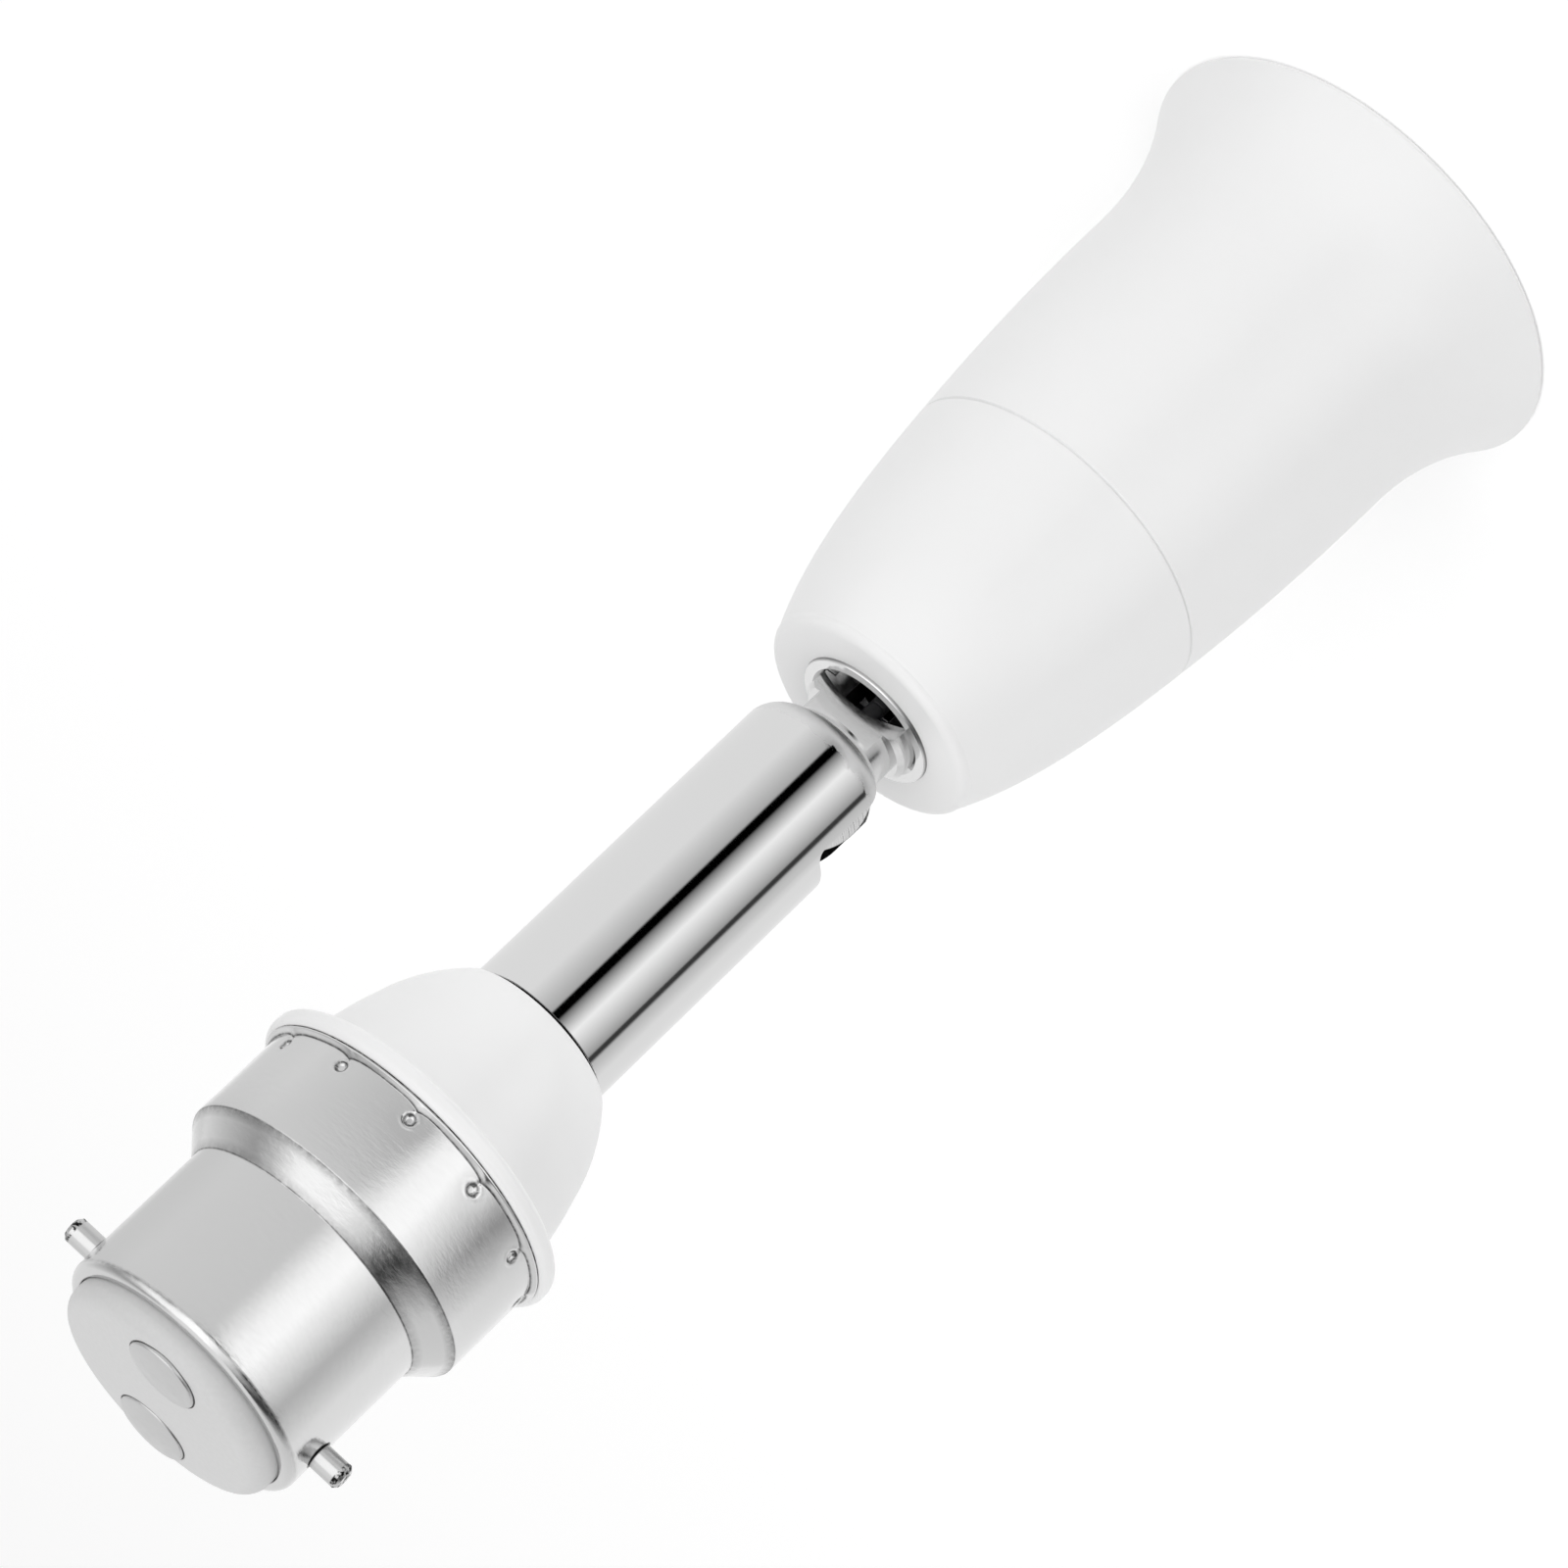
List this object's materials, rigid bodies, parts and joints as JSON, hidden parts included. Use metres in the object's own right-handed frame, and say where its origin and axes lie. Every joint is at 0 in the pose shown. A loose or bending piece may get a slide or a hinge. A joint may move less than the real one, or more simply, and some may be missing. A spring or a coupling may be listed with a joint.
{
  "type": "lamp socket adapter",
  "caption": "Swivelling adapter that joins a bayonet lamp cap, through a tube with a ball joint, to a flared holder for a screw-in bulb.",
  "frame": {"origin": "centre of the holder's mouth, in the plane of its rim, on the axis of the straight adapter", "axes": "+Z along the straight adapter from the mouth to the bayonet contacts, +X towards the slot in the tube, into which the neck tilts"},
  "size_m": [0.039, 0.039, 0.136],
  "materials": {
    "white_moulding": "moulded, semi-gloss white",
    "bright_tube": "polished chrome plate",
    "stem_metal": "turned and nickel plated",
    "satin_cap": "drawn sheet, satin nickel",
    "grey_insulator": "moulded, light grey",
    "contact_metal": "tinned brass",
    "shell_metal": "rolled sheet, nickel wash",
    "socket_ceramic": "pressed steatite",
    "spring_bronze": "phosphor bronze strip",
    "brass": "turned brass",
    "zinc_steel": "zinc plated steel",
    "live_sleeve": "brown wire sleeve",
    "neutral_sleeve": "blue wire sleeve"
  },
  "bodies": {
    "holder": {"holder_bell": "white_moulding", "holder_cap": "white_moulding", "entry_bush": "stem_metal", "screw_shell": "shell_metal", "socket_insulator": "socket_ceramic", "shell_rivets": "brass", "tongue_rivet": "brass", "centre_contact": "spring_bronze", "live_terminal": "brass", "neutral_terminal": "brass", "terminal_screws": "zinc_steel", "insert_screws": "zinc_steel"},
    "stem": {"swivel_stem": "stem_metal", "stem_washer": "zinc_steel", "stem_spring_washer": "zinc_steel", "stem_nut": "zinc_steel"},
    "base": {"extension_tube": "bright_tube", "ball_seat": "brass", "friction_spring": "zinc_steel", "spring_stop_ring": "zinc_steel", "base_collar": "white_moulding", "tube_washer": "zinc_steel", "tube_nut": "zinc_steel", "cap_shell": "satin_cap", "cap_pins": "satin_cap", "cap_insulator": "grey_insulator", "contact_plates": "contact_metal", "live_wire": "live_sleeve", "neutral_wire": "neutral_sleeve"}
  },
  "joints": [
    {"name": "holder_turn", "type": "hinge", "parent": "holder", "child": "stem", "pos_m": [0, 0, 0.0584], "axis": [0, 0, 1], "range_deg": [-175, 175], "deforming": ["live_wire", "neutral_wire"]},
    {"name": "swivel_tilt", "type": "hinge", "parent": "stem", "child": "base", "pos_m": [0, 0, 0.0668], "axis": [0, 1, 0], "range_deg": [-8, 90], "deforming": ["live_wire", "neutral_wire"]}
  ]
}
